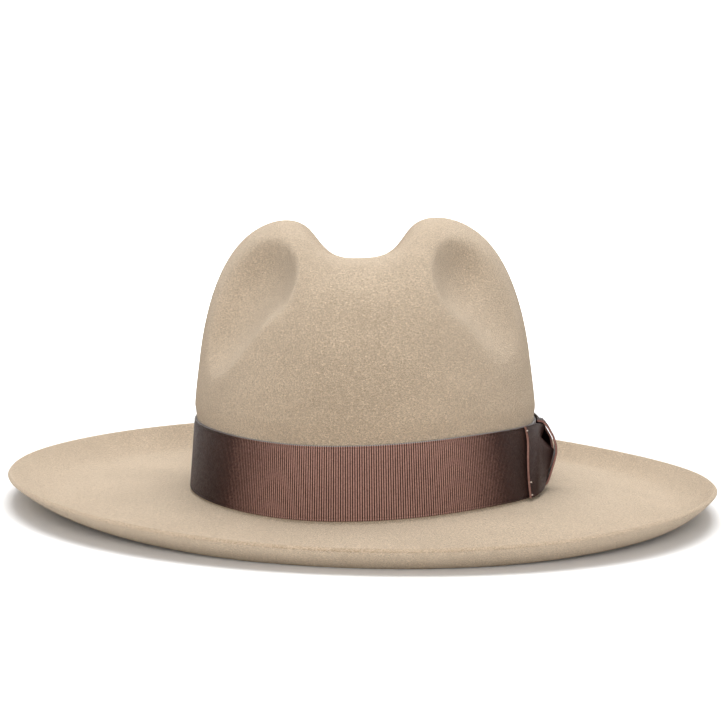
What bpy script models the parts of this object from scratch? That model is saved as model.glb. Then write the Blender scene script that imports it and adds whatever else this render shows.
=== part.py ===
"""Wide-brim fur-felt hat with a pinched front, a creased top and a grosgrain ribbon with a side bow.

Metres, +Z up, front towards -Y. The origin lies on the floor under the middle of the brim. Each piece is
worked out in the crown's own frame, whose XY plane is the level that the break, the line where the brim
leaves the crown, waves about. stand() then sets the hat on the floor as it rests, on three low stretches
of its felt. A turn is an angle round the crown: 0 at the wearer's left, +X, and a quarter turn at the back.
"""

import math
from collections import namedtuple

import bpy
import numpy as np
from mathutils import Euler

MM = 0.001

# Crown, outside, in felt
FELT = 2.2 * MM
CROWN_WIDTH = 166.4 * MM
CROWN_LENGTH = 201.2 * MM
CROWN_HEIGHT = 134.1 * MM  # above the break, before the top is creased
OVAL_POWER = 2.15  # 2 is an ellipse, more is squarer
DOME_START = 40.0 * MM  # above the break, where the wall starts to lean in
DOME_SIDE_POWER = 4.4
DOME_TOP_POWER = 1.87
WALL_FLARE = 4.4 * MM  # how far the wall spreads at its foot
WALL_FLARE_HEIGHT = 63.0 * MM
WALL_FLARE_POWER = 1.3  # above 1, most of the spread lies near the foot
RIBBON_PRESS = 1.4 * MM  # how far the ribbon draws the felt in
PRESS_FADE = 4.5 * MM  # above the ribbon, where the felt is back to its own line

# Brim
BRIM_WIDTH = 89.2 * MM
BRIM_SHIFT = -1.6 * MM  # the rim's middle lies this far to the wearer's right of the crown's
BREAK_RADIUS = 2.0 * MM
BREAK_WAVE = 3.3 * MM
RIM_RISE = 12.9 * MM  # the rim's upper edge above the level of the break, where it is highest
LIP_WIDTH = 21.0 * MM  # the outer strip of the brim that curls up
LIP_CURL = 17.0 * MM  # how far it curls up, where it curls most
LIP_POWER = 1.62
SETTLE_HEIGHT = 80.0 * MM  # above the break, where the crown no longer follows the break's waves

# How the hat rests
SEAT_HEIGHT = 7.8 * MM  # the crown's frame above the floor
SEAT_LEAN = 1.95  # degrees, towards the wearer's right
SEAT_NOD = 0.73  # degrees, backwards

# Ribbon and bow
GAP = 0.3 * MM
RIBBON = 1.0 * MM
RIBBON_WIDTH = 33.9 * MM
RIBBON_LIFT = 1.5 * MM  # the ribbon's lower edge above the break
BOW_PLACE = 8.0 * MM  # along the ribbon, from the side's middle forwards to the knot
WING_LENGTH = 46.0 * MM
WING_STAND = 6.6 * MM  # how far a wing's pleat stands off the ribbon beside the knot
WING_SPLIT = 0.6 * MM  # between the two wings, under the knot
KNOT_WIDTH = 12.0 * MM
KNOT_STAND = 8.2 * MM

# Mesh
TURNS = 72
FRONT_CROWDING = 0.32  # how much closer the columns stand at the front than at the sides
# Shares of the brim's width where its rows lie, close together where it turns up and where it meets the floor
BRIM_ROWS = (1.0, 0.94, 0.88, 0.82, 0.78, 0.74, 0.70, 0.58, 0.46, 0.23, 0.0)
BREAK_ROWS = (60, 30)  # degrees round the break
DOME_ROWS = (4, 10, 16, 21, 26, 31, 36, 41, 46, 51, 56, 61, 66, 71, 76, 81, 86)  # degrees above its start
LEAST_ROLL = 0.075  # share of the crown's height: the tightest roll over a form's edge that the rows follow

# Eighth turns from the wearer's left, backwards. Shares of BREAK_WAVE, RIM_RISE and LIP_CURL.
BrimEighth = namedtuple("BrimEighth", "bearing break_share rim_share curl_share")
BRIM_EIGHTHS = (
    BrimEighth("left", -0.90, 0.04, 1.00),
    BrimEighth("back left", 0.09, 0.05, 0.91),
    BrimEighth("back", -0.91, 0.75, 0.74),
    BrimEighth("back right", -0.91, 0.95, 0.58),
    BrimEighth("right", -0.18, 1.00, 0.53),
    BrimEighth("front right", -0.67, 0.74, 0.60),
    BrimEighth("front", -1.18, 0.08, 0.79),
    BrimEighth("front left", -0.45, 0.09, 0.97),
)

# The forms that the dented crown was pressed with, superellipsoids that bite into the dome. Centres and
# half sizes are shares of the crown's half width, half length and height. The turns are about X, Y and Z,
# in degrees. A soft share says how wide the felt rolls over the form's inner and outer edge, in shares
# of the crown's height.
Die = namedtuple("Die", "name centre half turned power inner_soft outer_soft")
DIES = (
    Die("crease", (-0.026, -0.133, 1.078), (0.275, 1.233, 0.244), (-2.6, -1.4, 0), 3.06, 0.237, 0.237),
    Die("right thumb", (-0.64, -0.88, 0.815), (0.27, 0.46, 0.185), (0, 18, 0), 2.2, 0.03, 0.12),
    Die("left thumb", (0.65, -0.88, 0.815), (0.27, 0.46, 0.185), (0, -18, 0), 2.2, 0.04, 0.14),
    Die("right flank", (-1.24, -0.8, 0.612), (0.5, 0.46, 0.58), (0, 43, 0), 3.0, 0.02, 0.22),
    Die("left flank", (1.16, -0.8, 0.69), (0.5, 0.46, 0.46), (0, -51, 0), 2.2, 0.05, 0.22),
)

# Cross sections of a wing, from the knot to its end: its top edge, the hollow of its pleat, the pleat's crest
# and its foot. Heights are shares of RIBBON_WIDTH, stands are shares of WING_STAND.
WingSection = namedtuple(
    "WingSection", "along top top_stand hollow hollow_stand crest crest_stand foot foot_stand"
)
WING_SECTIONS = (
    WingSection(0.00, 0.92, 0.20, 0.76, 0.30, 0.54, 1.00, 0.16, 0.20),
    WingSection(0.12, 0.95, 0.18, 0.78, 0.24, 0.55, 0.80, 0.12, 0.18),
    WingSection(0.26, 0.98, 0.14, 0.82, 0.16, 0.59, 0.46, 0.07, 0.13),
    WingSection(0.44, 1.00, 0.10, 0.84, 0.12, 0.66, 0.24, 0.04, 0.08),
    WingSection(0.70, 1.00, 0.07, 0.84, 0.09, 0.66, 0.13, 0.02, 0.05),
    WingSection(1.00, 1.01, 0.10, 0.84, 0.11, 0.60, 0.12, 0.01, 0.08),
)
WING_ROWS = (0.0, 0.5, 1.0, 1.4, 2.0, 3.0)  # foot, crest, hollow and top are at 0, 1, 2 and 3

# The knot's strip from its upper end to its lower end. Shares of KNOT_STAND and RIBBON_WIDTH.
KnotPoint = namedtuple("KnotPoint", "stand height")
KNOT_POINTS = (
    KnotPoint(0.02, 1.02),
    KnotPoint(0.39, 0.99),
    KnotPoint(0.56, 0.87),
    KnotPoint(0.89, 0.73),
    KnotPoint(1.00, 0.61),
    KnotPoint(0.97, 0.51),
    KnotPoint(0.81, 0.39),
    KnotPoint(0.59, 0.25),
    KnotPoint(0.44, 0.16),
    KnotPoint(0.28, 0.08),
    KnotPoint(0.02, 0.03),
)

TAN_FELT = (0.50, 0.40, 0.29)
BROWN_RIBBON = (0.105, 0.062, 0.050)


def clear_scene():
    for obj in list(bpy.data.objects):
        bpy.data.objects.remove(obj, do_unlink=True)


def material(name, colour, roughness):
    made = bpy.data.materials.new(name)
    made.use_nodes = True
    shader = made.node_tree.nodes["Principled BSDF"]
    shader.inputs["Base Color"].default_value = (*colour, 1.0)
    shader.inputs["Roughness"].default_value = roughness
    shader.inputs["Metallic"].default_value = 0.0
    made.diffuse_color = (*colour, 1.0)
    return made


def smooth_step(share):
    share = np.clip(share, 0.0, 1.0)
    return share * share * (3.0 - 2.0 * share)


def round_the_hat(values, turn):
    """The smoothest closed curve through values that lie at even turns."""
    waves = np.fft.rfft(values) / len(values)
    last = len(waves) - 1
    total = waves[0].real + waves[last].real * np.cos(last * turn)
    for order in range(1, last):
        total = total + 2.0 * (waves[order] * np.exp(1j * order * turn)).real
    return total


def oval(turn, out):
    """The crown's outline at the ribbon, moved outwards by out. Returns x and y."""
    half_x, half_y = CROWN_WIDTH / 2, CROWN_LENGTH / 2
    cos, sin = np.cos(turn), np.sin(turn)
    share_x = np.sign(cos) * np.abs(cos) ** (2 / OVAL_POWER)
    share_y = np.sign(sin) * np.abs(sin) ** (2 / OVAL_POWER)
    normal_x = np.sign(cos) * np.abs(share_x) ** (OVAL_POWER - 1) / half_x
    normal_y = np.sign(sin) * np.abs(share_y) ** (OVAL_POWER - 1) / half_y
    length = np.hypot(normal_x, normal_y)
    return half_x * share_x + out * normal_x / length, half_y * share_y + out * normal_y / length


def eighths(column, turn):
    return round_the_hat([getattr(eighth, column) for eighth in BRIM_EIGHTHS], turn)


def settle(turn, above_break):
    """The height of a point of the crown, which follows the break's waves up to the ribbon's upper edge."""
    wave = BREAK_WAVE * eighths("break_share", turn)
    ribbon_top = RIBBON_LIFT + RIBBON_WIDTH
    return above_break + wave * (1.0 - smooth_step((above_break - ribbon_top) / (SETTLE_HEIGHT - ribbon_top)))


def wall_out(above_break):
    """How far the wall's outside stands outside the oval, drawn in where the ribbon binds it."""
    press = RIBBON_PRESS * (1.0 - smooth_step((above_break - RIBBON_LIFT - RIBBON_WIDTH) / PRESS_FADE))
    return WALL_FLARE * np.clip(1.0 - above_break / WALL_FLARE_HEIGHT, 0.0, 1.0) ** WALL_FLARE_POWER - press


def brim_point(turn, share):
    """A point of the brim's upper side, from the break, share 0, to the rim, share 1."""
    foot = wall_out(BREAK_RADIUS) + BREAK_RADIUS
    x, y = oval(turn, foot + share * (BRIM_WIDTH - foot))
    curl = LIP_CURL * eighths("curl_share", turn)
    low = RIM_RISE * eighths("rim_share", turn) - curl
    curled = max(0.0, 1.0 - (1.0 - share) * BRIM_WIDTH / LIP_WIDTH) ** LIP_POWER
    z = BREAK_WAVE * eighths("break_share", turn) * (1.0 - share**2) + low * share**2 + curl * curled
    return x + BRIM_SHIFT * share, y, z


def break_point(turn, angle):
    """A point of the rounded break: angle 0 where the wall ends, a quarter turn where the brim starts."""
    above = BREAK_RADIUS * (1.0 - math.sin(angle))
    x, y = oval(turn, wall_out(BREAK_RADIUS) + BREAK_RADIUS * (1.0 - math.cos(angle)))
    return x, y, settle(turn, above)


def wall_point(turn, above_break, out=0.0):
    x, y = oval(turn, wall_out(above_break) + out)
    return x, y, settle(turn, above_break)


def dome_reach(direction):
    """How far the dome lies from its centre, the point on the axis at DOME_START."""
    half_x, half_y, half_z = CROWN_WIDTH / 2, CROWN_LENGTH / 2, CROWN_HEIGHT - DOME_START
    plan = np.abs(direction[..., 0] / half_x) ** OVAL_POWER + np.abs(direction[..., 1] / half_y) ** OVAL_POWER
    plan = plan ** (1 / OVAL_POWER)
    up = direction[..., 2] / half_z
    near, far = np.zeros(plan.shape), np.full(plan.shape, 2.0 * max(half_x, half_y, half_z))
    for _ in range(36):
        reach = (near + far) / 2
        outside = (reach * plan) ** DOME_SIDE_POWER + (reach * up) ** DOME_TOP_POWER > 1.0
        near, far = np.where(outside, near, reach), np.where(outside, reach, far)
    return (near + far) / 2


def die_depth(die, points):
    """About how deep each point lies inside the die, and how wide the felt rolls over its edge there."""
    sizes = np.array((CROWN_WIDTH / 2, CROWN_LENGTH / 2, CROWN_HEIGHT))
    half = np.array(die.half) * sizes
    turned = np.array(Euler([math.radians(angle) for angle in die.turned]).to_matrix())
    local = (points - np.array(die.centre) * sizes) @ turned / half
    norm = np.maximum((np.abs(local) ** die.power).sum(axis=-1) ** (1 / die.power), 1e-6)
    slope = np.abs(local / norm[..., None]) ** (die.power - 1) / half
    outer = smooth_step(0.5 + 0.5 * local[..., 0] * (np.sign(die.centre[0]) or 1.0))
    roll = die.inner_soft + (die.outer_soft - die.inner_soft) * outer
    soft = CROWN_HEIGHT * np.maximum(roll, LEAST_ROLL)
    return (1.0 - norm) / np.linalg.norm(slope, axis=-1), soft


def soft_max(first, second, soft):
    overlap = np.clip(soft - np.abs(first - second), 0.0, None) / soft
    return np.maximum(first, second) + overlap**3 * soft / 6


def dented_reach(direction):
    """How far the dented crown lies from the dome's centre: the dome, with each die pressed in."""
    centre = np.array((0.0, 0.0, DOME_START))
    dome = dome_reach(direction)
    near, far = 0.4 * dome, 1.02 * dome
    for _ in range(24):
        reach = (near + far) / 2
        points = centre + direction * reach[..., None]
        outside = reach - dome
        for die in DIES:
            depth, soft = die_depth(die, points)
            outside = soft_max(outside, depth, soft)
        near, far = np.where(outside > 0.0, near, reach), np.where(outside > 0.0, reach, far)
    return (near + far) / 2


def dome_point(turn, rise):
    """A point of the dented dome: rise 0 at its start, a quarter turn at its top."""
    x, y = oval(turn, 0.0)
    level = math.cos(rise)
    across = np.hypot(x, y)
    direction = np.stack([x / across * level, y / across * level, np.full(x.shape, math.sin(rise))], axis=-1)
    points = direction * dented_reach(direction)[..., None]
    above = DOME_START + points[..., 2]
    spread = 1.0 + wall_out(above) / across
    return points[..., 0] * spread, points[..., 1] * spread, settle(turn, above)


def turns(count):
    """Even steps round the crown, drawn together at the front, where the pinches are."""
    even = np.arange(count) * 2 * math.pi / count
    return even - FRONT_CROWDING * np.cos(even)


def wall_levels():
    """Heights of the wall's rows, which the ribbon shares."""
    top = RIBBON_LIFT + RIBBON_WIDTH
    return [BREAK_RADIUS, 0.36 * top, 0.68 * top, top]


def seat_turn():
    """The rotation that brings the crown's frame to the way the hat rests."""
    return np.array(Euler((-math.radians(SEAT_NOD), -math.radians(SEAT_LEAN), 0.0)).to_matrix())


def stand(points):
    """Points of the crown's frame, moved to where the hat has them as it rests."""
    return points @ seat_turn().T + np.array((-BRIM_SHIFT, 0.0, SEAT_HEIGHT))


def ring_faces(rows, columns):
    """Four-sided faces between closed rings of points. They face up where the rings run inwards."""
    return [
        (row * columns + column, row * columns + (column + 1) % columns,
         (row + 1) * columns + (column + 1) % columns, (row + 1) * columns + column)
        for row in range(rows - 1)
        for column in range(columns)
    ]


def mesh_object(name, points, faces, finish):
    mesh = bpy.data.meshes.new(name)
    mesh.from_pydata(points.tolist(), [], faces)
    mesh.materials.append(finish)
    obj = bpy.data.objects.new(name, mesh)
    bpy.context.scene.collection.objects.link(obj)
    mesh.shade_smooth()
    mesh.set_sharp_from_angle(angle=math.radians(50))
    return obj


def felt_sheet(columns, brim_shares, break_angles, levels, rises):
    """The felt's outer face, from the rim to the top of the crown, flattened where it meets the floor."""
    turn = turns(columns)
    rings = [brim_point(turn, share) for share in brim_shares]
    rings += [break_point(turn, angle) for angle in break_angles]
    rings += [wall_point(turn, level) for level in levels]
    rings += [dome_point(turn, rise) for rise in rises]
    points = np.concatenate([np.stack(ring, axis=-1) for ring in rings])
    top = dome_point(np.zeros(1) + 1e-9, math.pi / 2)
    points = stand(np.concatenate([points, np.stack(top, axis=-1)]))
    points[:, 2] = np.maximum(points[:, 2], FELT)
    faces = ring_faces(len(rings), columns)
    last = (len(rings) - 1) * columns
    faces += [(last + column, last + (column + 1) % columns, len(points) - 1) for column in range(columns)]
    return points, faces


def build_felt_body(finish):
    break_angles = [math.radians(angle) for angle in BREAK_ROWS]
    rises = [math.radians(angle) for angle in DOME_ROWS]
    levels = [*wall_levels(), RIBBON_LIFT + RIBBON_WIDTH + PRESS_FADE]
    points, faces = felt_sheet(TURNS, BRIM_ROWS, break_angles, levels, rises)
    body = mesh_object("felt_body", points, faces, finish)
    body.modifiers.new("even_facets", "TRIANGULATE").quad_method = "BEAUTY"
    inward = body.modifiers.new("felt", "SOLIDIFY")
    inward.thickness = FELT
    inward.offset = -1.0
    inward.use_even_offset = True
    inward.use_quality_normals = True
    return body


def build_ribbon_band(finish):
    turn = turns(TURNS)
    levels = [RIBBON_LIFT, *wall_levels()[1:]]
    outer = [wall_point(turn, level, GAP + RIBBON) for level in levels]
    inner = [wall_point(turn, level, GAP) for level in reversed(levels)]
    rings = outer + inner
    points = stand(np.concatenate([np.stack(ring, axis=-1) for ring in rings]))
    faces = ring_faces(len(rings), TURNS)
    last = (len(rings) - 1) * TURNS
    faces += [
        (last + column, last + (column + 1) % TURNS, (column + 1) % TURNS, column)
        for column in range(TURNS)
    ]
    return mesh_object("ribbon_band", points, faces, finish)


def turn_at(forward):
    """The turn that lies this far forwards along the ribbon from the middle of the wearer's left side."""
    turn = np.linspace(-1.2, 1.2, 481)
    x, y = oval(turn, wall_out(RIBBON_LIFT + RIBBON_WIDTH / 2) + GAP + RIBBON)
    run = np.concatenate([[0.0], np.cumsum(np.hypot(np.diff(x), np.diff(y)))])
    return np.interp(-np.asarray(forward), run - np.interp(0.0, turn, run), turn)


def ribbon_point(forward, height, stand):
    """A point that stands off the ribbon's outer face, at a height above the ribbon's lower edge."""
    turn = turn_at(forward)
    return wall_point(turn, RIBBON_LIFT + height, GAP + RIBBON + stand)


def strip_solid(name, face_points, finish):
    """A closed strip, RIBBON thick, whose inner face is the grid of points, forwards then upwards."""
    rows, columns = face_points.shape[:2]
    faces = [
        (row * columns + column, row * columns + column + 1,
         (row + 1) * columns + column + 1, (row + 1) * columns + column)
        for row in range(rows - 1)
        for column in range(columns - 1)
    ]
    strip = mesh_object(name, stand(face_points.reshape(-1, 3)), faces, finish)
    thicken = strip.modifiers.new("ribbon", "SOLIDIFY")
    thicken.thickness = RIBBON
    thicken.offset = 1.0
    thicken.use_even_offset = True
    thicken.use_quality_normals = True
    return strip


def wing_point(share, place, way):
    """A point of a wing's inner face, share of the way to its end. Place is as in WING_ROWS."""
    alongs = [section.along for section in WING_SECTIONS]
    top, top_stand, hollow, hollow_stand, crest, crest_stand, foot, foot_stand = (
        np.interp(share, alongs, [section[column] for section in WING_SECTIONS]) for column in range(1, 9)
    )
    height = RIBBON_WIDTH * np.interp(place, range(4), (foot, crest, hollow, top))
    stands = WING_STAND * np.interp(place, range(4), (foot_stand, crest_stand, hollow_stand, top_stand))
    forward = BOW_PLACE + way * (WING_SPLIT / 2 + share * (WING_LENGTH - WING_SPLIT / 2))
    return ribbon_point(forward, height, GAP + stands)


def build_wing(name, way, finish):
    """A wing of the bow: way is 1 for the one that points forwards, -1 for the other."""
    grid = [[wing_point(share, place, way) for place in WING_ROWS] for share in np.linspace(0.0, 1.0, 13)]
    return strip_solid(name, np.array(grid[::way]), finish)


def build_knot(finish):
    grid = [
        [
            ribbon_point(BOW_PLACE + across, RIBBON_WIDTH * point.height, GAP + KNOT_STAND * point.stand)
            for point in reversed(KNOT_POINTS)
        ]
        for across in np.linspace(-KNOT_WIDTH / 2, KNOT_WIDTH / 2, 4)
    ]
    return strip_solid("bow_knot", np.array(grid), finish)


def main():
    clear_scene()
    felt = material("tan_felt", TAN_FELT, 0.95)
    ribbon = material("brown_ribbon", BROWN_RIBBON, 0.55)
    build_felt_body(felt)
    build_ribbon_band(ribbon)
    build_wing("bow_front_wing", 1, ribbon)
    build_wing("bow_rear_wing", -1, ribbon)
    build_knot(ribbon)


main()
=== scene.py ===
"""The wide-brim felt hat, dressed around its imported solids.

Fine felt, the ribbed ribbon and its bow, the stage and the camera. X is the wearer's left, -Y the front.
"""

import math
from collections import namedtuple

import bpy
import numpy as np
from mathutils import Euler, Matrix, Vector


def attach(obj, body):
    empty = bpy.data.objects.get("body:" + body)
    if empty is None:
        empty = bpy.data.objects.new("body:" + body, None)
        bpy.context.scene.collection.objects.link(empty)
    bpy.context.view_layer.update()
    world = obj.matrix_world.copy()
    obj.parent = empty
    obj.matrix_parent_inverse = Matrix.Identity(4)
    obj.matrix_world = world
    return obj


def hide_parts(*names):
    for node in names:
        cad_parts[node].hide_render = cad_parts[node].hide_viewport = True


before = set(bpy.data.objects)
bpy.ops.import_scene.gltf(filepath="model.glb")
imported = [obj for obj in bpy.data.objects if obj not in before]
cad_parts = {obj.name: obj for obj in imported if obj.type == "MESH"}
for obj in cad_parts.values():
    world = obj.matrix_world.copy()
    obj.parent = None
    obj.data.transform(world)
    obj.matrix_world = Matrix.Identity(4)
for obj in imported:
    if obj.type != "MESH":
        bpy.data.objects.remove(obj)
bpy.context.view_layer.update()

MM = 0.001

# Crown and brim: the sizes that the solids were made from. The break is the line where they meet
FELT = 2.2 * MM
CROWN_WIDTH = 166.4 * MM
CROWN_LENGTH = 201.2 * MM
CROWN_HEIGHT = 134.1 * MM
OVAL_POWER = 2.15
DOME_START = 40.0 * MM  # height above the break at which the wall turns into the dome
DOME_SIDE_POWER = 4.4
DOME_TOP_POWER = 1.87
WALL_FLARE = 4.4 * MM  # how much wider the crown is at the break
WALL_FLARE_HEIGHT = 63.0 * MM
WALL_FLARE_POWER = 1.3
RIBBON_PRESS = 1.4 * MM  # how far the ribbon presses the felt in
PRESS_FADE = 4.5 * MM
BRIM_WIDTH = 89.2 * MM
BRIM_SHIFT = -1.6 * MM
BREAK_RADIUS = 2.0 * MM
BREAK_WAVE = 3.3 * MM
RIM_RISE = 12.9 * MM
LIP_WIDTH = 21.0 * MM
LIP_CURL = 17.0 * MM
LIP_POWER = 1.62
SETTLE_HEIGHT = 80.0 * MM  # above this the crown is level, whatever the break does
SEAT_HEIGHT = 7.8 * MM
SEAT_LEAN = 1.95  # degrees towards the wearer's right, as the hat rests
SEAT_NOD = 0.73  # degrees backwards

# The felt's mesh
FELT_COLUMNS = 240
COLUMN_CROWDING = 0.42  # radians by which columns are drawn towards the front
LIP_ROWS = 10
BRIM_ROWS = 15
BREAK_ANGLES = (67, 45, 22)
WALL_ROWS = 8
DOME_ANGLES = np.linspace(1.5, 88.5, 84)
DOME_HALVINGS = 36
DENT_HALVINGS = 24
DENT_DEEPEST = 0.4  # shares of the plain dome's reach between which the dented one is looked for
DENT_HIGHEST = 1.02
RIM_ROUNDING = 0.5 * MM
ROUNDED_FROM = 55  # degrees: the rim's edges bend more than this

# Ribbon and bow
GAP = 0.3 * MM
RIBBON = 1.0 * MM
RIBBON_WIDTH = 33.9 * MM
RIBBON_LIFT = 1.5 * MM
RIBBON_ROWS = 6
PLAIN_START = 4 * MM  # from here on, in from either edge, the ribbon is even
RIB_PITCH = 1.08 * MM
RIB_DEPTH = 0.25 * MM
RIB_STEPS = (0.0, 0.5, 0.62, 0.88)  # where a rib's flat ridge and the valley after it start and end
RIB_FORM = (1.0, 1.0, 0.0, 0.0)
SHARP_FROM = 30  # degrees: the sides of a rib meet its ridge at more than this
RUN_STEPS = 4001  # round the ribbon, where its length is measured
EDGE_ROWS = (0.0, 0.25, 0.7, 1.1, 1.5, 2.2)  # mm in from either edge of the ribbon
EDGE_THICK = (0.45, 0.92, 1.0, 0.74, 0.95, 1.0)  # how thick the ribbon is there
EDGE_RIB_ROWS = (0.0, 0.7, 1.1, 1.5, 2.2)
EDGE_RIBS = (0.75, 0.45, 0.2, 0.9, 1.0)  # how strong its ribs are there
KNOT_RIBS = 38
KNOT_COLUMNS = 13
STITCH_LENGTH = 2.2 * MM
STITCH_THICK = 0.6 * MM
STITCH_INSET = 0.2 * MM
STITCH_STEPS = 7
STITCH_SIDES = 8
STITCH_BLUNT = 0.02  # how blunt its ends are
STITCHES = (("bow_stitch_top", 0.95), ("bow_stitch_middle", 0.23), ("bow_stitch_foot", 0.05))
BOW_PLACE = 8.0 * MM  # in front of the crown's leftmost point
BOW_REACH = 1.2  # radians to either side within which the bow lies
BOW_STEPS = 481
WING_LENGTH = 46.0 * MM
WING_STAND = 6.6 * MM
WING_SPLIT = 0.6 * MM
WING_PLACES = (0.0, 0.5, 1.0, 2.0, 3.0)  # foot, belly, crest, hollow and top of a wing's section
WING_ROWS = (0.0, 0.03, 0.07, *np.linspace(0.14, 2.86, 26), 2.93, 2.97, 3.0)
WING_END_TRIM = 0.02  # of a rib
WING_BELLY = {1: 0.64, -1: 0.72}  # shares of the crest's stand, for the front and the rear wing
WING_BELLY_FOOT = 0.1
REAR_FULLNESS = 0.9
WING_END_STAND = 0.11
END_WAVE = 1.2 * MM  # how far the wings' cut ends waver
END_WAVE_POWER = 4
END_WAVE_PITCH = 2.2
END_WAVE_START = 0.6
KNOT_WIDTH = 12.0 * MM
KNOT_STAND = 8.2 * MM

BrimEighth = namedtuple("BrimEighth", "bearing break_share rim_share curl_share")
BRIM_EIGHTHS = (  # the brim's form at eight bearings, counted from the wearer's left
    BrimEighth("left", -0.90, 0.04, 1.00),
    BrimEighth("back left", 0.09, 0.05, 0.91),
    BrimEighth("back", -0.91, 0.75, 0.74),
    BrimEighth("back right", -0.91, 0.95, 0.58),
    BrimEighth("right", -0.18, 1.00, 0.53),
    BrimEighth("front right", -0.67, 0.74, 0.60),
    BrimEighth("front", -1.18, 0.08, 0.79),
    BrimEighth("front left", -0.45, 0.09, 0.97),
)

Die = namedtuple("Die", "name centre half turned power inner_soft outer_soft")
DIES = (  # what dents the crown: places and sizes are shares of the crown's
    Die("crease", (-0.026, -0.133, 1.078), (0.275, 1.233, 0.244), (-2.6, -1.4, 0), 3.06, 0.237, 0.237),
    Die("right thumb", (-0.64, -0.88, 0.815), (0.27, 0.46, 0.185), (0, 18, 0), 2.2, 0.03, 0.12),
    Die("left thumb", (0.65, -0.88, 0.815), (0.27, 0.46, 0.185), (0, -18, 0), 2.2, 0.04, 0.14),
    Die("right flank", (-1.24, -0.8, 0.612), (0.5, 0.46, 0.58), (0, 43, 0), 3.0, 0.02, 0.22),
    Die("left flank", (1.16, -0.8, 0.69), (0.5, 0.46, 0.46), (0, -51, 0), 2.2, 0.05, 0.22),
)

WingSection = namedtuple(
    "WingSection", "along top top_stand hollow hollow_stand crest crest_stand foot foot_stand"
)
WING_SECTIONS = (  # from the knot to a wing's end, shares of the ribbon's width and of WING_STAND
    WingSection(0.00, 0.88, 0.50, 0.72, 0.10, 0.54, 1.00, 0.16, 0.26),
    WingSection(0.12, 0.92, 0.40, 0.74, 0.08, 0.55, 0.84, 0.12, 0.22),
    WingSection(0.26, 0.96, 0.24, 0.78, 0.08, 0.60, 0.54, 0.07, 0.15),
    WingSection(0.44, 0.99, 0.12, 0.82, 0.10, 0.66, 0.26, 0.04, 0.09),
    WingSection(0.70, 1.00, 0.07, 0.84, 0.09, 0.66, 0.13, 0.02, 0.05),
    WingSection(1.00, 1.01, 0.10, 0.84, 0.11, 0.60, 0.12, 0.01, 0.08),
)
KnotPoint = namedtuple("KnotPoint", "stand height")
KNOT_POINTS = (  # down the knot, shares of KNOT_STAND and of the ribbon's width
    KnotPoint(0.02, 0.97),
    KnotPoint(0.36, 0.96),
    KnotPoint(0.62, 0.87),
    KnotPoint(0.89, 0.73),
    KnotPoint(1.00, 0.61),
    KnotPoint(0.97, 0.51),
    KnotPoint(0.81, 0.39),
    KnotPoint(0.59, 0.25),
    KnotPoint(0.44, 0.16),
    KnotPoint(0.28, 0.08),
    KnotPoint(0.02, 0.03),
)


def smooth_step(share):
    """An even rise from 0 to 1 that starts and ends level."""
    share = np.clip(share, 0.0, 1.0)
    return share * share * (3.0 - 2.0 * share)


def round_the_hat(values, turn):
    """The smoothest closed curve through values that lie at even turns."""
    waves = np.fft.rfft(values) / len(values)
    last = len(waves) - 1
    total = waves[0].real + waves[last].real * np.cos(last * turn)
    for order in range(1, last):
        total = total + 2.0 * (waves[order] * np.exp(1j * order * turn)).real
    return total


def oval(turn, out):
    """The crown's outline at the ribbon, moved outwards by out. Returns x and y."""
    half_x, half_y = CROWN_WIDTH / 2, CROWN_LENGTH / 2
    cos, sin = np.cos(turn), np.sin(turn)
    share_x = np.sign(cos) * np.abs(cos) ** (2 / OVAL_POWER)
    share_y = np.sign(sin) * np.abs(sin) ** (2 / OVAL_POWER)
    normal_x = np.sign(cos) * np.abs(share_x) ** (OVAL_POWER - 1) / half_x
    normal_y = np.sign(sin) * np.abs(share_y) ** (OVAL_POWER - 1) / half_y
    length = np.hypot(normal_x, normal_y)
    return half_x * share_x + out * normal_x / length, half_y * share_y + out * normal_y / length


def eighths(column, turn):
    """One column of BRIM_EIGHTHS, carried smoothly round the hat."""
    return round_the_hat([getattr(eighth, column) for eighth in BRIM_EIGHTHS], turn)


def settle(turn, above_break):
    """A crown point's height: it follows the uneven break up to the ribbon's top, then levels out."""
    wave = BREAK_WAVE * eighths("break_share", turn)
    ribbon_top = RIBBON_LIFT + RIBBON_WIDTH
    level = smooth_step((above_break - ribbon_top) / (SETTLE_HEIGHT - ribbon_top))
    return above_break + wave * (1.0 - level)


def wall_out(above_break):
    """How far the crown's wall stands out from its plain oval."""
    press = RIBBON_PRESS * (1.0 - smooth_step((above_break - RIBBON_LIFT - RIBBON_WIDTH) / PRESS_FADE))
    flare = np.clip(1.0 - above_break / WALL_FLARE_HEIGHT, 0.0, 1.0) ** WALL_FLARE_POWER
    return WALL_FLARE * flare - press


def brim_point(turn, share):
    """The brim's upper face, share of the way from the break to the rim."""
    foot = wall_out(BREAK_RADIUS) + BREAK_RADIUS
    x, y = oval(turn, foot + share * (BRIM_WIDTH - foot))
    curl = LIP_CURL * eighths("curl_share", turn)
    low = RIM_RISE * eighths("rim_share", turn) - curl
    curled = max(0.0, 1.0 - (1.0 - share) * BRIM_WIDTH / LIP_WIDTH) ** LIP_POWER
    z = BREAK_WAVE * eighths("break_share", turn) * (1.0 - share**2) + low * share**2 + curl * curled
    return x + BRIM_SHIFT * share, y, z


def break_point(turn, angle):
    """The rounded bend between brim and crown."""
    above = BREAK_RADIUS * (1.0 - math.sin(angle))
    x, y = oval(turn, wall_out(BREAK_RADIUS) + BREAK_RADIUS * (1.0 - math.cos(angle)))
    return x, y, settle(turn, above)


def wall_point(turn, above_break, out=0.0):
    """The crown's wall, or a point that stands out from it."""
    x, y = oval(turn, wall_out(above_break) + out)
    return x, y, settle(turn, above_break)


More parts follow.
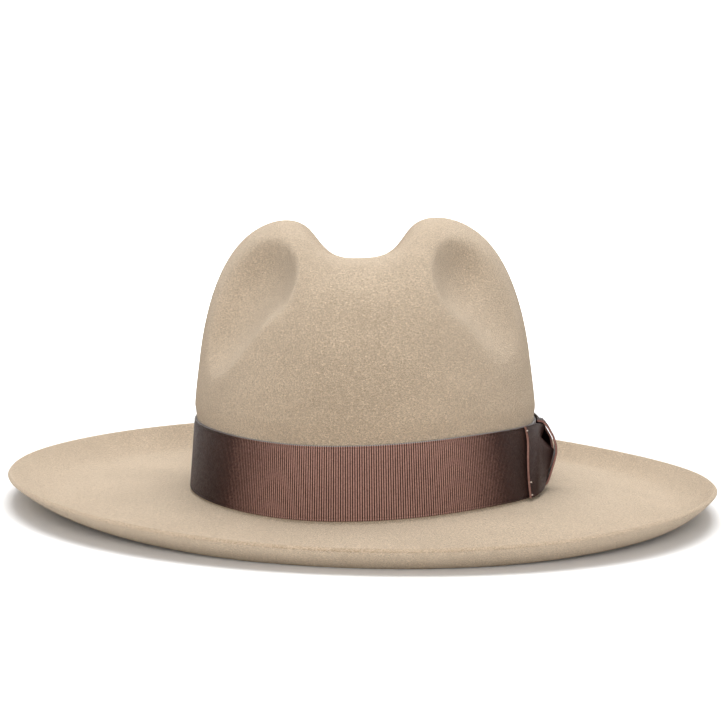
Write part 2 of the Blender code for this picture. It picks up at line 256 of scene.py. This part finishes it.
def dome_reach(direction):
    """How far the undented dome reaches from its centre."""
    half_x, half_y, half_z = CROWN_WIDTH / 2, CROWN_LENGTH / 2, CROWN_HEIGHT - DOME_START
    plan = np.abs(direction[..., 0] / half_x) ** OVAL_POWER
    plan = (plan + np.abs(direction[..., 1] / half_y) ** OVAL_POWER) ** (1 / OVAL_POWER)
    up = direction[..., 2] / half_z
    near, far = np.zeros(plan.shape), np.full(plan.shape, 2.0 * max(half_x, half_y, half_z))
    for _ in range(DOME_HALVINGS):
        reach = (near + far) / 2
        outside = (reach * plan) ** DOME_SIDE_POWER + (reach * up) ** DOME_TOP_POWER > 1.0
        near, far = np.where(outside, near, reach), np.where(outside, reach, far)
    return (near + far) / 2


def die_depth(die, points):
    """How deep points lie inside a die, and how softly its edge blends there."""
    sizes = np.array((CROWN_WIDTH / 2, CROWN_LENGTH / 2, CROWN_HEIGHT))
    half = np.array(die.half) * sizes
    turned = np.array(Euler([math.radians(angle) for angle in die.turned]).to_matrix())
    local = (points - np.array(die.centre) * sizes) @ turned / half
    norm = np.maximum((np.abs(local) ** die.power).sum(axis=-1) ** (1 / die.power), 1e-6)
    slope = np.abs(local / norm[..., None]) ** (die.power - 1) / half
    outer = smooth_step(0.5 + 0.5 * local[..., 0] * (np.sign(die.centre[0]) or 1.0))
    soft = CROWN_HEIGHT * (die.inner_soft + (die.outer_soft - die.inner_soft) * outer)
    return (1.0 - norm) / np.linalg.norm(slope, axis=-1), soft


def soft_max(first, second, soft):
    """The larger of two depths, with a rounded change from one to the other."""
    overlap = np.clip(soft - np.abs(first - second), 0.0, None) / soft
    return np.maximum(first, second) + overlap**3 * soft / 6


def dented_reach(direction):
    """How far the crown reaches from the dome's centre once the dies have pressed it in."""
    centre = np.array((0.0, 0.0, DOME_START))
    dome = dome_reach(direction)
    near, far = DENT_DEEPEST * dome, DENT_HIGHEST * dome
    for _ in range(DENT_HALVINGS):
        reach = (near + far) / 2
        points = centre + direction * reach[..., None]
        outside = reach - dome
        for die in DIES:
            depth, soft = die_depth(die, points)
            outside = soft_max(outside, depth, soft)
        near, far = np.where(outside > 0.0, near, reach), np.where(outside > 0.0, reach, far)
    return (near + far) / 2


def dome_point(turn, rise):
    """The dented dome, seen from its centre at a turn and a rise."""
    x, y = oval(turn, 0.0)
    level = math.cos(rise)
    across = np.hypot(x, y)
    up = np.full(x.shape, math.sin(rise))
    direction = np.stack([x / across * level, y / across * level, up], axis=-1)
    points = direction * dented_reach(direction)[..., None]
    above = DOME_START + points[..., 2]
    spread = 1.0 + wall_out(above) / across
    return points[..., 0] * spread, points[..., 1] * spread, settle(turn, above)


def seat_turn():
    """The small turn with which the hat rests on the low stretches of its brim."""
    return np.array(Euler((-math.radians(SEAT_NOD), -math.radians(SEAT_LEAN), 0.0)).to_matrix())


def stand(points):
    """Moves points from the hat's own frame to the floor that it rests on."""
    return points @ seat_turn().T + np.array((-BRIM_SHIFT, 0.0, SEAT_HEIGHT))


def ring_faces(rows, columns):
    """Faces between closed rings of points."""
    return [
        (row * columns + column, row * columns + (column + 1) % columns,
         (row + 1) * columns + (column + 1) % columns, (row + 1) * columns + column)
        for row in range(rows - 1)
        for column in range(columns)
    ]


def mesh_object(name, points, faces, *finishes):
    """A smooth-shaded object with its materials."""
    mesh = bpy.data.meshes.new(name)
    mesh.from_pydata(points.tolist(), [], faces)
    for finish in finishes:
        mesh.materials.append(finish)
    obj = bpy.data.objects.new(name, mesh)
    bpy.context.scene.collection.objects.link(obj)
    mesh.shade_smooth()
    return obj


def mark_ribs(obj, ridge):
    """Stores how high each vertex stands on its rib, from 0 in a valley to 1 on a ridge. The ribbon
    materials paint shade into the valleys from it.
    """
    mark = obj.data.attributes.new("rib", "FLOAT", "POINT")
    mark.data.foreach_set("value", np.asarray(ridge, dtype=np.float32))


def apply_modifiers(obj):
    """Turns the object's modifiers into plain mesh."""
    graph = bpy.context.evaluated_depsgraph_get()
    made = bpy.data.meshes.new_from_object(obj.evaluated_get(graph))
    obj.modifiers.clear()
    obj.data = made


# Felt

def felt_piece(felt, darker_rim_finish):
    """Crown and brim as one sheet, thickened inwards. No outer point is lower than the felt is thick."""
    even = np.arange(FELT_COLUMNS) * 2 * math.pi / FELT_COLUMNS
    turn = even - COLUMN_CROWDING * np.cos(even)
    lip = 1.0 - LIP_WIDTH / BRIM_WIDTH
    shares = [*np.linspace(1.0, lip, LIP_ROWS)[:-1], *np.linspace(lip, 0.0, BRIM_ROWS)]
    levels = np.linspace(BREAK_RADIUS, RIBBON_LIFT + RIBBON_WIDTH, WALL_ROWS)
    rings = [brim_point(turn, share) for share in shares]
    rings += [break_point(turn, math.radians(angle)) for angle in BREAK_ANGLES]
    rings += [wall_point(turn, level) for level in levels]
    rings += [dome_point(turn, math.radians(angle)) for angle in DOME_ANGLES]
    points = np.concatenate([np.stack(ring, axis=-1) for ring in rings])
    top = dome_point(np.zeros(1), math.pi / 2)
    points = stand(np.concatenate([points, np.stack(top, axis=-1)]))
    points[:, 2] = np.maximum(points[:, 2], FELT)
    faces = ring_faces(len(rings), FELT_COLUMNS)
    last = (len(rings) - 1) * FELT_COLUMNS
    for column in range(FELT_COLUMNS):
        faces.append((last + column, last + (column + 1) % FELT_COLUMNS, len(points) - 1))
    body = mesh_object("felt_hat", points, faces, felt, darker_rim_finish)
    inward = body.modifiers.new("felt", "SOLIDIFY")
    inward.thickness = FELT
    inward.offset = -1.0
    inward.use_even_offset = True
    inward.use_quality_normals = True
    # The rim's faces take the second finish, the darker brown.
    inward.material_offset_rim = 1
    rounded = body.modifiers.new("rounded_rim", "BEVEL")
    rounded.width = RIM_ROUNDING
    rounded.segments = 2
    rounded.limit_method = "ANGLE"
    rounded.angle_limit = math.radians(ROUNDED_FROM)
    apply_modifiers(body)
    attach(body, "root")
    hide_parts("felt_body")


# Ribbon

def rib_places(ribs):
    """Where along the ribbon its ribs' corners lie, counted in ribs, and how high each corner stands."""
    return np.add.outer(np.arange(ribs), RIB_STEPS).ravel(), np.tile(RIB_FORM, ribs)


def turns_along():
    """The turn at each rib's corners round the ribbon, and how high each corner stands."""
    turn = np.linspace(0.0, 2 * math.pi, RUN_STEPS)
    x, y = oval(turn, wall_out(RIBBON_LIFT + RIBBON_WIDTH / 2) + GAP + RIBBON)
    run = np.concatenate([[0.0], np.cumsum(np.hypot(np.diff(x), np.diff(y)))])
    ribs = round(run[-1] / RIB_PITCH)
    places, ridge = rib_places(ribs)
    return np.interp(places / ribs * run[-1], run, turn), ridge


def edge_profile(height):
    """How thick the ribbon is and how strong its ribs are, by height above its lower edge."""
    edge = min(height, RIBBON_WIDTH - height) / MM
    return np.interp(edge, EDGE_ROWS, EDGE_THICK), np.interp(edge, EDGE_RIB_ROWS, EDGE_RIBS)


def ribbon_piece(finish, painted_edge_highlight):
    """The ribbon round the crown: a closed ring, ribbed outside, with a paler grey band along its top,
    painted as a highlight of the edge.
    """
    turn, ridge = turns_along()
    near_edge = np.array(EDGE_ROWS) * MM
    plain = np.linspace(PLAIN_START, RIBBON_WIDTH - PLAIN_START, RIBBON_ROWS)
    heights = np.concatenate([near_edge, plain, RIBBON_WIDTH - near_edge[::-1]])
    outer, inner = [], []
    for height in heights:
        thick, ribs = edge_profile(height)
        out = GAP + RIBBON * thick - RIB_DEPTH * ribs * (1.0 - ridge)
        outer.append(wall_point(turn, RIBBON_LIFT + height, out))
    for height in (RIBBON_WIDTH, RIBBON_WIDTH / 2, 0.0):
        inner.append(wall_point(turn, RIBBON_LIFT + height, GAP / 2))
    rings = outer + inner
    points = stand(np.concatenate([np.stack(ring, axis=-1) for ring in rings]))
    count = len(turn)
    faces = ring_faces(len(rings), count)
    last = (len(rings) - 1) * count
    faces += [(last + c, last + (c + 1) % count, (c + 1) % count, c) for c in range(count)]
    piece = mesh_object("ribbon_wrap", points, faces, finish, painted_edge_highlight)
    mark_ribs(piece, np.tile(ridge, len(rings)))
    # The top two rows of faces take the pale grey painted highlight.
    first_pale = (len(heights) - 2) * count
    for face in range(first_pale, first_pale + 2 * count):
        piece.data.polygons[face].material_index = 1
    piece.data.set_sharp_from_angle(angle=math.radians(SHARP_FROM))
    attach(piece, "root")
    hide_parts("ribbon_band")


def turn_at(forward):
    """The turn at a distance along the ribbon, forwards from the crown's leftmost point."""
    turn = np.linspace(-BOW_REACH, BOW_REACH, BOW_STEPS)
    x, y = oval(turn, wall_out(RIBBON_LIFT + RIBBON_WIDTH / 2) + GAP + RIBBON)
    run = np.concatenate([[0.0], np.cumsum(np.hypot(np.diff(x), np.diff(y)))])
    return np.interp(-np.asarray(forward), run - np.interp(0.0, turn, run), turn)


def ribbon_point(forward, height, stands):
    """A point over the ribbon's outer face, by height above its lower edge and how far it stands off."""
    turn = turn_at(forward)
    return np.array(wall_point(turn, RIBBON_LIFT + height, GAP + RIBBON + stands))


def slab(name, outer, inner, ridge, finishes, node):
    """A closed sheet between two grids of points, cut along its first and last rows."""
    rows, columns = outer.shape[:2]
    points = stand(np.concatenate([outer.reshape(-1, 3), inner.reshape(-1, 3)]))
    back = rows * columns
    faces = []
    for row in range(rows - 1):
        for column in range(columns - 1):
            a = row * columns + column
            face = (a, a + 1, a + columns + 1, a + columns)
            faces.append(face)
            faces.append(tuple(back + corner for corner in reversed(face)))
    border = list(range(columns))
    border += [row * columns + columns - 1 for row in range(1, rows)]
    border += [(rows - 1) * columns + column for column in range(columns - 2, -1, -1)]
    border += [row * columns for row in range(rows - 2, 0, -1)]
    cut_edges = []
    for first, second in zip(border, border[1:] + border[:1]):
        if first // columns == second // columns:
            cut_edges.append(len(faces))
        faces.append((second, first, back + first, back + second))
    piece = mesh_object(name, points, faces, *finishes)
    mark_ribs(piece, np.tile(np.broadcast_to(ridge, (rows, columns)).ravel(), 2))
    # The faces along the cut rows take the second finish; on the bow that is a painted highlight.
    for face in cut_edges:
        piece.data.polygons[face].material_index = 1
    piece.data.set_sharp_from_angle(angle=math.radians(SHARP_FROM))
    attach(piece, "root")
    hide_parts(node)


def wing_point(share, place, way, out):
    """A point of a wing. The rear one is fuller, so that no light falls through beside the knot."""
    alongs, *columns = zip(*WING_SECTIONS)
    top, top_stand, hollow, hollow_stand, crest, crest_stand, foot, foot_stand = (
        np.interp(share, alongs, column) for column in columns
    )
    belly = WING_BELLY[way] * crest_stand + WING_BELLY_FOOT * foot_stand
    if way < 0:
        hollow_stand = max(hollow_stand, REAR_FULLNESS * crest_stand)
    height = RIBBON_WIDTH * np.interp(place, range(4), (foot, crest, hollow, top))
    stands = np.interp(place, WING_PLACES, (foot_stand, belly, crest_stand, hollow_stand, top_stand))
    forward = BOW_PLACE + way * (WING_SPLIT / 2 + share * (WING_LENGTH - WING_SPLIT / 2))
    forward += END_WAVE * share**END_WAVE_POWER * math.sin(END_WAVE_PITCH * place + END_WAVE_START)
    return ribbon_point(forward, height, GAP + WING_STAND * stands + out)


def wing_piece(name, way, finishes, node):
    """A pleated wing: way is 1 for the one that points forwards, -1 for the other."""
    ribs = round(WING_LENGTH / RIB_PITCH)
    alongs, ridge = rib_places(ribs)
    alongs, ridge = np.append(alongs, ribs - WING_END_TRIM) / ribs, np.append(ridge, 1.0)
    outer, inner = [], []
    for share, high in zip(alongs, ridge):
        out = RIBBON - RIB_DEPTH * (1 - high)
        outer.append([wing_point(share, place, way, out) for place in WING_ROWS])
        inner.append([wing_point(share, place, way, 0.0) for place in WING_ROWS])
    slab(name, np.array(outer[::way]), np.array(inner[::way]), ridge[::way, None], finishes, node)


def knot_piece(finishes):
    """The strip over the middle of the bow, ribbed across."""
    places = np.arange(len(KNOT_POINTS))
    alongs, ridge = rib_places(KNOT_RIBS)
    fine = (len(KNOT_POINTS) - 1) * (1.0 - alongs / KNOT_RIBS)
    stands = np.interp(fine, places, [point.stand for point in KNOT_POINTS]) * KNOT_STAND + GAP
    heights = np.interp(fine, places, [point.height for point in KNOT_POINTS]) * RIBBON_WIDTH
    along = np.gradient(np.stack([stands, heights], axis=-1), axis=0)
    along /= np.linalg.norm(along, axis=1)[:, None]
    normal = np.stack([along[:, 1], -along[:, 0]], axis=-1)
    out = RIBBON - RIB_DEPTH * (1 - ridge)
    outer_heights, outer_stands = heights + normal[:, 1] * out, stands + normal[:, 0] * out
    outer, inner = [], []
    for across in np.linspace(-KNOT_WIDTH / 2, KNOT_WIDTH / 2, KNOT_COLUMNS):
        forward = BOW_PLACE + across
        outer.append([ribbon_point(forward, h, s) for h, s in zip(outer_heights, outer_stands)])
        inner.append([ribbon_point(forward, h, s) for h, s in zip(heights, stands)])
    slab("bow_knot_wrap", np.array(outer), np.array(inner), ridge, finishes, "bow_knot")


def stitch_piece(name, height, finish):
    """A short pale stitch over the end of the front wing, at a share of the ribbon's width."""
    middle = BOW_PLACE + WING_LENGTH - STITCH_INSET
    points = []
    for step in range(STITCH_STEPS):
        along = math.cos(math.pi * step / (STITCH_STEPS - 1))
        girth = STITCH_THICK / 2 * math.sqrt(max(1.0 - along**2, STITCH_BLUNT))
        for side in range(STITCH_SIDES):
            angle = 2 * math.pi * side / STITCH_SIDES
            out = WING_END_STAND * WING_STAND + RIBBON + GAP + girth * math.sin(angle)
            out -= abs(along) * STITCH_INSET
            up = RIBBON_WIDTH * height + girth * math.cos(angle)
            points.append(ribbon_point(middle + STITCH_LENGTH / 2 * along, up, out))
    faces = ring_faces(STITCH_STEPS, STITCH_SIDES)
    last = (STITCH_STEPS - 1) * STITCH_SIDES
    faces += [tuple(reversed(range(STITCH_SIDES))), tuple(range(last, last + STITCH_SIDES))]
    piece = mesh_object(name, stand(np.array(points)), faces, finish)
    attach(piece, "root")


# Materials

FELT_STOPS = (0.53, 0.66, 0.79)
FIBRE_SHARE = 0.10
CLOUD_SHARE = 0.16
FELT_FLATTENING = (0.6, 0.6, 1.0)  # makes the grain longer sideways than upwards
FELT_ROUGHNESS = 0.95
FELT_BUMP = 1.5 * MM
# Ramp places: the valley colour is painted shade, then the ridge colour, then the pale colour, a painted
# highlight.
RIBBON_STOPS = (0.70, 1.40, 2.25)
THREAD_SHARE = 1.0
BROAD_SHARE = 0.3
THREAD_BUMP = 0.4 * MM
VALLEY_ROUGHNESS = 1.0
# Painted highlight: the ribs are painted paler towards the front, where the lamps' highlight falls.
PAINTED_FRONT_HIGHLIGHT = {"From Min": -0.058, "From Max": -0.098, "To Min": 0.35, "To Max": 1.5}  # from metres along Y


def shader_of(name, roughness):
    """A new material, with its node tree and its shader."""
    made = bpy.data.materials.new(name)
    made.use_nodes = True
    shader = made.node_tree.nodes["Principled BSDF"]
    shader.inputs["Roughness"].default_value = roughness
    return made, made.node_tree, shader


def node(tree, kind, **values):
    """A new node with values for its inputs, or for its settings where no input has that name."""
    made = tree.nodes.new(kind)
    for key, value in values.items():
        if key in made.inputs:
            made.inputs[key].default_value = value
        else:
            setattr(made, key, value)
    return made


def add_share(tree, source, share, base):
    """The source times a share, on top of the base."""
    made = node(tree, "ShaderNodeMath", operation="MULTIPLY_ADD")
    made.inputs[1].default_value = share
    tree.links.new(source, made.inputs[0])
    tree.links.new(base, made.inputs[2])
    return made.outputs[0]


def ramp(tree, source, stops):
    """A colour ramp over any range of values."""
    made = tree.nodes.new("ShaderNodeValToRGB")
    elements = made.color_ramp.elements
    low, high = stops[0][0], stops[-1][0]
    while len(elements) < len(stops):
        elements.new(0.5)
    for element, (place, colour) in zip(elements, stops):
        element.position = (place - low) / (high - low)
        element.color = (*colour, 1.0)
    spread = node(tree, "ShaderNodeMapRange")
    spread.inputs["From Min"].default_value = low
    spread.inputs["From Max"].default_value = high
    tree.links.new(source, spread.inputs["Value"])
    tree.links.new(spread.outputs["Result"], made.inputs["Fac"])
    return made.outputs["Color"]


def felt_material(name, dark, middle, light, bump):
    """Matted fur: a fine grain of short curled fibres over soft, broad changes of colour."""
    made, tree, shader = shader_of(name, FELT_ROUGHNESS)
    place = node(tree, "ShaderNodeTexCoord").outputs["Object"]
    grain = node(tree, "ShaderNodeTexNoise", Scale=2300.0, Detail=2.0, Roughness=0.6, Distortion=1.0)
    fibre = node(
        tree, "ShaderNodeTexNoise", noise_type="RIDGED_MULTIFRACTAL",
        Scale=950.0, Detail=3.0, Roughness=0.5, Distortion=1.2,
    )
    cloud = node(tree, "ShaderNodeTexNoise", Scale=38.0, Detail=2.0, Roughness=0.5)
    level = node(tree, "ShaderNodeMapping")
    level.inputs["Scale"].default_value = FELT_FLATTENING
    tree.links.new(place, level.inputs["Vector"])
    for texture in (grain, fibre, cloud):
        tree.links.new(level.outputs["Vector"], texture.inputs["Vector"])
    matted = add_share(tree, fibre.outputs["Fac"], FIBRE_SHARE, grain.outputs["Fac"])
    clouded = add_share(tree, cloud.outputs["Fac"], CLOUD_SHARE, matted)
    colour = ramp(tree, clouded, list(zip(FELT_STOPS, (dark, middle, light))))
    tree.links.new(colour, shader.inputs["Base Color"])
    bumped = node(tree, "ShaderNodeBump", Strength=bump, Distance=FELT_BUMP)
    tree.links.new(matted, bumped.inputs["Height"])
    tree.links.new(bumped.outputs["Normal"], shader.inputs["Normal"])
    shader.inputs["Sheen Weight"].default_value = 1.0
    shader.inputs["Sheen Roughness"].default_value = 0.58
    shader.inputs["Sheen Tint"].default_value = (1.0, 0.86, 0.69, 1.0)
    shader.inputs["Specular IOR Level"].default_value = 0.12
    return made


def ribbon_material(name, valley, ridge, pale, roughness):
    """Grosgrain: shade painted dark into the valleys between the ribs, and a highlight painted on the
    ridges, paler towards the front.
    """
    made, tree, shader = shader_of(name, roughness)
    place = node(tree, "ShaderNodeTexCoord").outputs["Object"]
    threads = node(tree, "ShaderNodeTexNoise", Scale=1300.0, Detail=3.0, Roughness=0.6)
    broad = node(tree, "ShaderNodeTexNoise", Scale=45.0, Detail=2.0)
    for texture in (threads, broad):
        tree.links.new(place, texture.inputs["Vector"])
    rib = node(tree, "ShaderNodeAttribute", attribute_name="rib").outputs["Fac"]
    lengthwise = node(tree, "ShaderNodeSeparateXYZ")
    tree.links.new(place, lengthwise.inputs["Vector"])
    # Painted highlight: paler ridges towards the front of the hat.
    front_highlight = node(tree, "ShaderNodeMapRange", interpolation_type="SMOOTHSTEP", **PAINTED_FRONT_HIGHLIGHT)
    tree.links.new(lengthwise.outputs["Y"], front_highlight.inputs["Value"])
    # Rib height times the painted front highlight; low values take the painted valley shade.
    ribbed = node(tree, "ShaderNodeMath", operation="MULTIPLY")
    tree.links.new(rib, ribbed.inputs[0])
    tree.links.new(front_highlight.outputs["Result"], ribbed.inputs[1])
    uneven = add_share(tree, threads.outputs["Fac"], THREAD_SHARE, ribbed.outputs[0])
    mixed = add_share(tree, broad.outputs["Fac"], BROAD_SHARE, uneven)
    colour = ramp(tree, mixed, list(zip(RIBBON_STOPS, (valley, ridge, pale))))
    tree.links.new(colour, shader.inputs["Base Color"])
    dull = node(tree, "ShaderNodeMapRange")
    dull.inputs["To Min"].default_value = VALLEY_ROUGHNESS
    dull.inputs["To Max"].default_value = roughness
    tree.links.new(rib, dull.inputs["Value"])
    tree.links.new(dull.outputs["Result"], shader.inputs["Roughness"])
    bumped = node(tree, "ShaderNodeBump", Strength=1.0, Distance=THREAD_BUMP)
    tree.links.new(threads.outputs["Fac"], bumped.inputs["Height"])
    tree.links.new(bumped.outputs["Normal"], shader.inputs["Normal"])
    shader.inputs["IOR"].default_value = 1.5
    shader.inputs["Anisotropic"].default_value = 0.8
    shader.inputs["Anisotropic Rotation"].default_value = 0.25
    shader.inputs["Specular Tint"].default_value = (1.0, 0.66, 0.58, 1.0)
    return made


# Stage

CAMERA_DISTANCE = 1.0
CAMERA_RISE = 8.31  # degrees above the brim's plane
CAMERA_ROLL = -0.50  # degrees
CAMERA_LIFT = 1.3 * MM
FOCAL = 1993.3  # this and the next two in pixels of the photo
HAT_PLACE = (365.75, 479.48)  # where the middle of the brim's plane lies in the photo
PHOTO_SIDE = 721
SENSOR = 36.0
FLOOR_HALF = 4.0
FLOOR_FRONT = -3.0
SWEEP_START = 2.2  # behind the hat, where the floor begins to curve up into a wall
SWEEP_RADIUS = 1.2
SWEEP_ANGLES = np.linspace(7.5, 90, 12)
WALL_TOP = 4.0
HAT_MIDDLE = (0.0, 0.0, 0.08)
WORLD_STRENGTH = 0.36
Lamp = namedtuple("Lamp", "name place target size energy")
LAMPS = (
    Lamp("overhead", (0.0, 0.10, 1.2), HAT_MIDDLE, 1.0, 18.5),
    Lamp("front", (0.0, -1.9, 0.66), HAT_MIDDLE, 0.9, 19.5),
    Lamp("backdrop", (0.0, 1.2, 1.6), (0.0, 3.0, 0.5), 1.6, 120.0),
)


def camera():
    """The photo's view. It aims past the hat's middle, since the hat lies off the middle of the photo."""
    half = PHOTO_SIDE / 2
    down, roll = math.radians(CAMERA_RISE), math.radians(CAMERA_ROLL)
    back = Vector((0.0, -math.cos(down), math.sin(down)))
    right = Vector((1.0, 0.0, 0.0))
    up = back.cross(right)
    view_right = right * math.cos(roll) + up * math.sin(roll)
    view_up = up * math.cos(roll) - right * math.sin(roll)
    aim = view_right * (half - HAT_PLACE[0]) + view_up * (HAT_PLACE[1] - half) - back * FOCAL
    new_back = -aim.normalized()
    new_right = (view_right - new_back * view_right.dot(new_back)).normalized()
    new_up = new_back.cross(new_right)
    turned = Matrix((new_right, new_up, new_back)).transposed().to_4x4()
    turned.translation = back * CAMERA_DISTANCE + Vector((0.0, 0.0, CAMERA_LIFT))
    seat = Matrix(seat_turn().tolist()).to_4x4()
    seat.translation = (-BRIM_SHIFT, 0.0, SEAT_HEIGHT)
    data = bpy.data.cameras.new("camera")
    data.sensor_width = SENSOR
    data.lens = FOCAL / PHOTO_SIDE * SENSOR
    obj = bpy.data.objects.new("camera", data)
    obj.matrix_world = seat @ turned
    bpy.context.scene.collection.objects.link(obj)
    bpy.context.scene.camera = obj


def stage():
    """A white floor that curves up into a wall behind the hat, a white world and three soft lights."""
    made, _, shader = shader_of("studio_white", 0.8)
    shader.inputs["Base Color"].default_value = (0.92, 0.92, 0.92, 1.0)
    shader.inputs["Specular IOR Level"].default_value = 0.1
    profile = [(FLOOR_FRONT, 0.0), (SWEEP_START, 0.0)]
    for angle in np.radians(SWEEP_ANGLES):
        along, up = SWEEP_RADIUS * math.sin(angle), SWEEP_RADIUS - SWEEP_RADIUS * math.cos(angle)
        profile.append((SWEEP_START + along, up))
    profile.append((SWEEP_START + SWEEP_RADIUS, WALL_TOP))
    points = [(x, y, z) for y, z in profile for x in (-FLOOR_HALF, FLOOR_HALF)]
    faces = [(2 * i, 2 * i + 1, 2 * i + 3, 2 * i + 2) for i in range(len(profile) - 1)]
    floor = mesh_object("studio_sweep", np.array(points), faces, made)
    world = bpy.data.worlds.new("studio")
    world.use_nodes = True
    world.node_tree.nodes["Background"].inputs["Color"].default_value = (1.0, 1.0, 1.0, 1.0)
    world.node_tree.nodes["Background"].inputs["Strength"].default_value = WORLD_STRENGTH
    bpy.context.scene.world = world
    for lamp in LAMPS:
        light = bpy.data.lights.new(lamp.name, "AREA")
        light.size = lamp.size
        light.energy = lamp.energy
        obj = bpy.data.objects.new(lamp.name, light)
        obj.location = lamp.place
        away = Vector(lamp.place) - Vector(lamp.target)
        obj.rotation_euler = away.to_track_quat("Z", "Y").to_euler()
        bpy.context.scene.collection.objects.link(obj)
    bpy.context.scene.view_settings.view_transform = "Standard"


# Colours from dark to light, then the strength of a felt's bump or the roughness of a ribbon
tan = felt_material(
    "tan_felt", (0.37, 0.27, 0.175), (0.63, 0.48, 0.335), (0.86, 0.69, 0.51), 1.0
)
thread = felt_material(
    "pale_thread", (0.55, 0.42, 0.36), (0.72, 0.60, 0.54), (0.85, 0.75, 0.70), 0.3
)
# The felt's rim faces are coloured a darker, browner tone than the felt.
darker_rim = felt_material(
    "darker_felt_rim", (0.36, 0.25, 0.15), (0.54, 0.39, 0.26), (0.70, 0.55, 0.40), 0.9
)
# For the ribbons: the dark colour is painted shade in the rib valleys, the light one a painted highlight.
brown = ribbon_material(
    "brown_ribbon", (0.003, 0.001, 0.0008), (0.050, 0.021, 0.016), (0.42, 0.235, 0.19), 0.58
)
# Pinkish painted highlight for the ribbon's cut edges, where they catch the light.
cut = ribbon_material(
    "ribbon_cut_edge_painted_highlight", (0.20, 0.09, 0.075), (0.46, 0.26, 0.21), (0.55, 0.34, 0.28), 0.6
)
# Pale grey painted highlight along the ribbon's top edge.
painted_edge_highlight = ribbon_material(
    "ribbon_top_edge_painted_highlight", (0.12, 0.11, 0.105), (0.25, 0.245, 0.24), (0.36, 0.355, 0.35), 0.7
)
felt_piece(tan, darker_rim)
ribbon_piece(brown, painted_edge_highlight)
wing_piece("bow_wing_front", 1, (brown, cut), "bow_front_wing")
wing_piece("bow_wing_rear", -1, (brown, cut), "bow_rear_wing")
knot_piece((brown, cut))
for name, height in STITCHES:
    stitch_piece(name, height, thread)
stage()
camera()
